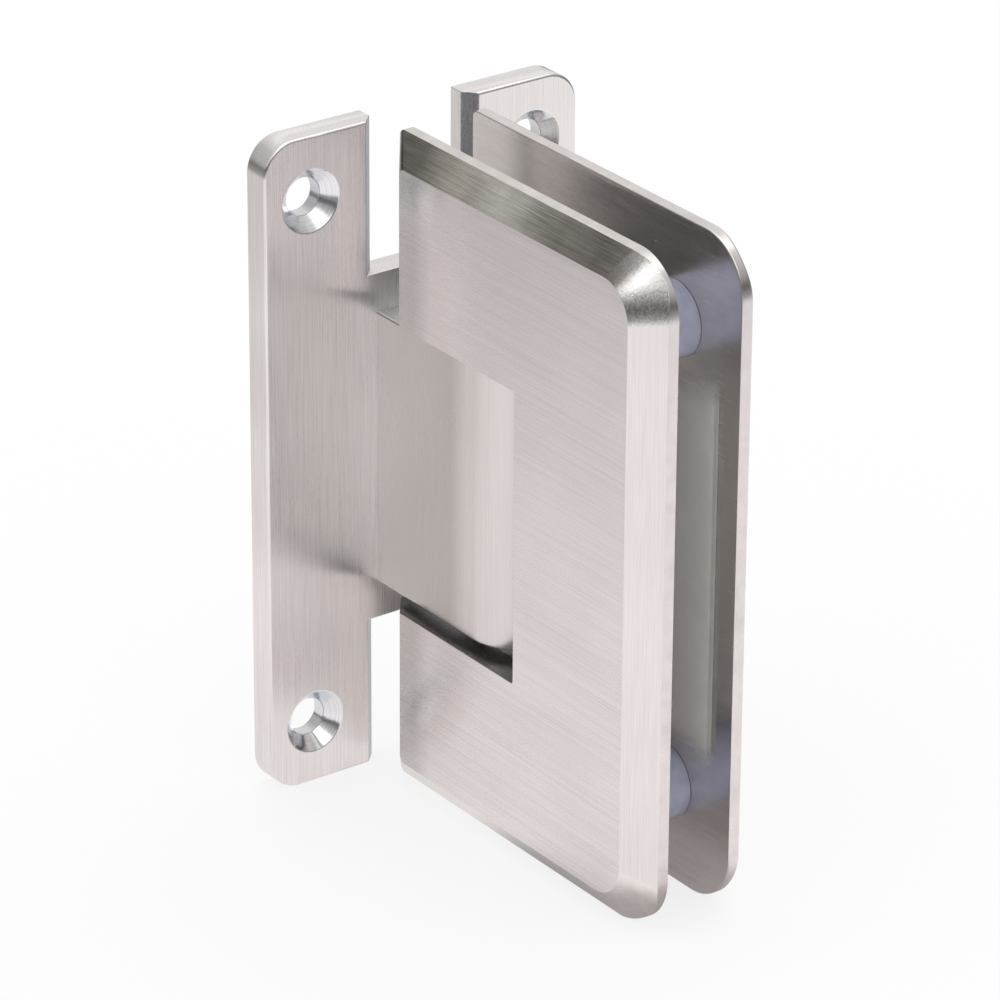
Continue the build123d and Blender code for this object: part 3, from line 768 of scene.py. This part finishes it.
def makeTable():
    material, tree = newMaterial("paperTable")
    # mirrored in metal, the table shows painted light: brighter on one side as if a window stood there,
    # darker far off, with a painted contact shadow; the camera sees white paper
    place = addNode(tree, "ShaderNodeTexCoord").outputs["Object"]
    along = addNode(tree, "ShaderNodeVectorMath", {"operation": "DOT_PRODUCT"}, {1: table["brightSide"]},
                    {0: place}).outputs["Value"]
    share = addNode(tree, "ShaderNodeMapRange", smooth,
                    {"From Min": table["dimFrom"] * mm, "From Max": table["brightFrom"] * mm},
                    {"Value": along}).outputs["Result"]
    glow = addNode(tree, "ShaderNodeValToRGB", links={"Fac": share},
                   stops=hexStops(table["colours"])).outputs["Color"]
    distance = addNode(tree, "ShaderNodeVectorMath", {"operation": "LENGTH"},
                       links={0: place}).outputs["Value"]
    faded = addNode(tree, "ShaderNodeMapRange", smooth,
                    {"From Min": table["fadeFrom"] * mm, "From Max": table["fadeTo"] * mm},
                    {"Value": distance}).outputs["Result"]
    glow = addNode(tree, "ShaderNodeMix", {"data_type": "RGBA"}, {7: linear(table["farColour"])},
                   {0: faded, 6: glow}).outputs[2]
    # a contact shadow under the clamp plates
    middleX, halfX, halfY = table["shadow"]
    fadeStart, fadeEnd = table["shadowFade"]
    nearby = addNode(tree, "ShaderNodeMapping",
                     inputs={"Location": (-middleX / halfX, 0, 0),
                             "Scale": (1 / halfX / mm, 1 / halfY / mm, 0)},
                     links={"Vector": place}).outputs["Vector"]
    nearby = addNode(tree, "ShaderNodeVectorMath", {"operation": "LENGTH"},
                     links={0: nearby}).outputs["Value"]
    unshaded = addNode(tree, "ShaderNodeMapRange", smooth, {"From Min": fadeStart, "From Max": fadeEnd},
                    {"Value": nearby}).outputs["Result"]
    glow = addNode(tree, "ShaderNodeMix", {"data_type": "RGBA"}, {6: linear(table["shadowColour"])},
                   {0: unshaded, 7: glow}).outputs[2]
    rays = addNode(tree, "ShaderNodeLightPath")
    level = addNode(tree, "ShaderNodeMix", {"data_type": "RGBA"}, {6: (1, 1, 1, 1)},
                    {0: rays.outputs["Is Glossy Ray"], 7: glow}).outputs[2]
    white = addNode(tree, "ShaderNodeEmission", inputs={"Strength": 1.0}, links={"Color": level})
    paper = addNode(tree, "ShaderNodeBsdfDiffuse", inputs={"Color": table["paper"]})
    seen = addNode(tree, "ShaderNodeMath", {"operation": "MAXIMUM"},
                   links={0: rays.outputs["Is Camera Ray"], 1: rays.outputs["Is Glossy Ray"]}).outputs[0]
    seen = addNode(tree, "ShaderNodeMath", {"operation": "MAXIMUM"},
                   links={0: seen, 1: rays.outputs["Is Transmission Ray"]}).outputs[0]
    share = addNode(tree, "ShaderNodeMath", {"operation": "MULTIPLY"}, {1: 1 - table["shadowShare"]},
                    {0: seen}).outputs[0]
    top = addNode(tree, "ShaderNodeMixShader", links={0: share, 1: paper.outputs[0], 2: white.outputs[0]})
    # from below the table can't be seen, so that it never hides the object
    clear = addNode(tree, "ShaderNodeBsdfTransparent")
    behind = addNode(tree, "ShaderNodeNewGeometry").outputs["Backfacing"]
    both = addNode(tree, "ShaderNodeMixShader", links={0: behind, 1: top.outputs[0], 2: clear.outputs[0]})
    addNode(tree, "ShaderNodeOutputMaterial", links={"Surface": both.outputs[0]})
    reach, height = table["reach"], table["height"] * mm
    mesh = bpy.data.meshes.new("tableTop")
    mesh.from_pydata([(-reach, -reach, height), (reach, -reach, height), (reach, reach, height),
                      (-reach, reach, height)], [], [(0, 1, 2, 3)])
    mesh.materials.append(material)
    piece = bpy.data.objects.new("tableTop", mesh)
    bpy.context.scene.collection.objects.link(piece)


makeTable()

# the room as metal mirrors it, in brightness: a white of 1 is the paper's
room = {
    "ambient": 0.95,             # what rough surfaces gather instead of it
    "heights": [(-0.05, 0.5), (0.0, 0.13), (0.14, 0.13), (0.34, 0.42), (1.0, 0.85)],   # z of the direction
    "patches": [                 # direction, inner and outer angle in degrees, brightness
        ((-0.76, -0.52, 0.42), 14, 26, 0.5),
        ((-0.73, 0.53, 0.43), 20, 38, 0.82),
        ((0.64, -0.15, 0.76), 8, 28, 1.7),
    ],
    "tint": (1.0, 0.975, 0.96),
}


def tinted(value):
    return tuple(value * channel for channel in room["tint"]) + (1.0,)


def makeRoom():
    world = bpy.data.worlds.new("studioRoom")
    bpy.context.scene.world = world
    world.use_nodes = True
    tree = world.node_tree
    tree.nodes.clear()
    direction = addNode(tree, "ShaderNodeTexCoord").outputs["Generated"]
    height = addNode(tree, "ShaderNodeSeparateXYZ", links={"Vector": direction}).outputs["Z"]
    levelFrom = addNode(tree, "ShaderNodeMapRange", inputs={"From Min": -1.0, "From Max": 1.0},
                        links={"Value": height}).outputs["Result"]
    level = addNode(tree, "ShaderNodeValToRGB", links={"Fac": levelFrom},
                    stops=[((z + 1) / 2, tinted(value)) for z, value in room["heights"]]).outputs["Color"]
    for axis, inner, outer, brightness in room["patches"]:
        closeness = addNode(tree, "ShaderNodeVectorMath", {"operation": "DOT_PRODUCT"},
                            {1: Vector(axis).normalized()}, {0: direction}).outputs["Value"]
        share = addNode(tree, "ShaderNodeMapRange", smooth,
                        {"From Min": cos(radians(outer)), "From Max": cos(radians(inner))},
                        {"Value": closeness}).outputs["Result"]
        level = addNode(tree, "ShaderNodeMix", {"data_type": "RGBA"},
                        {7: tinted(brightness)}, {0: share, 6: level}).outputs[2]
    rays = addNode(tree, "ShaderNodeLightPath")
    seen = addNode(tree, "ShaderNodeBackground", inputs={"Color": (1, 1, 1, 1), "Strength": 1.0})
    mirrored = addNode(tree, "ShaderNodeBackground", inputs={"Strength": 1.0}, links={"Color": level})
    filling = addNode(tree, "ShaderNodeBackground",
                      inputs={"Color": (1, 1, 1, 1), "Strength": room["ambient"]})
    glossy = addNode(tree, "ShaderNodeMixShader", links={0: rays.outputs["Is Glossy Ray"],
                                                         1: filling.outputs[0], 2: mirrored.outputs[0]})
    both = addNode(tree, "ShaderNodeMixShader", links={0: rays.outputs["Is Camera Ray"],
                                                       1: glossy.outputs[0], 2: seen.outputs[0]})
    addNode(tree, "ShaderNodeOutputWorld", links={"Surface": both.outputs[0]})


makeRoom()

# softboxes: direction, distance and size in metres, brightness as a white of 1 would be
softboxes = {
    "frontSoftbox": {"direction": (0.02, -0.9, 0.44), "distance": 0.95, "size": (0.2, 0.11), "level": 2.1},
    "topSoftbox": {"direction": (-0.1, 0.25, 1.0), "distance": 1.1, "size": (0.9, 0.9), "level": 0.9},
}


def makeSoftbox(name, facts):
    lamp = bpy.data.lights.new(name, "AREA")
    lamp.shape = "RECTANGLE"
    lamp.size, lamp.size_y = facts["size"]
    lamp.energy = facts["level"] * pi * lamp.size * lamp.size_y    # radiance is power over pi times area
    piece = bpy.data.objects.new(name, lamp)
    bpy.context.scene.collection.objects.link(piece)
    away = Vector(facts["direction"]).normalized()
    piece.location = away * facts["distance"]
    piece.rotation_mode = "QUATERNION"
    piece.rotation_quaternion = away.to_track_quat("Z", "Y")
    piece.visible_camera = False


for lampName, lampFacts in softboxes.items():
    makeSoftbox(lampName, lampFacts)

# the photograph's viewpoint: angles in degrees, place in mm, lens and sensor in mm, near and far in metres
viewpoint = {
    "azimuth": 53.768, "elevation": 25.268, "roll": 0.379,
    "place": (558.011, -393.675, 311.509),
    "lens": 209.5, "sensor": 36, "near": 0.05, "far": 10,
}


def makeCamera():
    azimuth, elevation, roll = (radians(viewpoint[k]) for k in ("azimuth", "elevation", "roll"))
    ahead = Vector((-sin(azimuth) * cos(elevation), cos(azimuth) * cos(elevation), -sin(elevation)))
    level = Vector((cos(azimuth), sin(azimuth), 0))
    up = level.cross(ahead)
    right = level * cos(roll) + up * sin(roll)
    up = up * cos(roll) - level * sin(roll)
    data = bpy.data.cameras.new("photoCamera")
    data.lens = viewpoint["lens"]
    data.sensor_width = viewpoint["sensor"]
    data.clip_start, data.clip_end = viewpoint["near"], viewpoint["far"]
    camera = bpy.data.objects.new("photoCamera", data)
    bpy.context.scene.collection.objects.link(camera)
    turn = Matrix((right, up, -ahead)).transposed()
    camera.matrix_world = Matrix.Translation(Vector(viewpoint["place"]) * mm) @ turn.to_4x4()
    bpy.context.scene.camera = camera


makeCamera()
bpy.context.scene.view_settings.view_transform = "Standard"
print("studio ready")
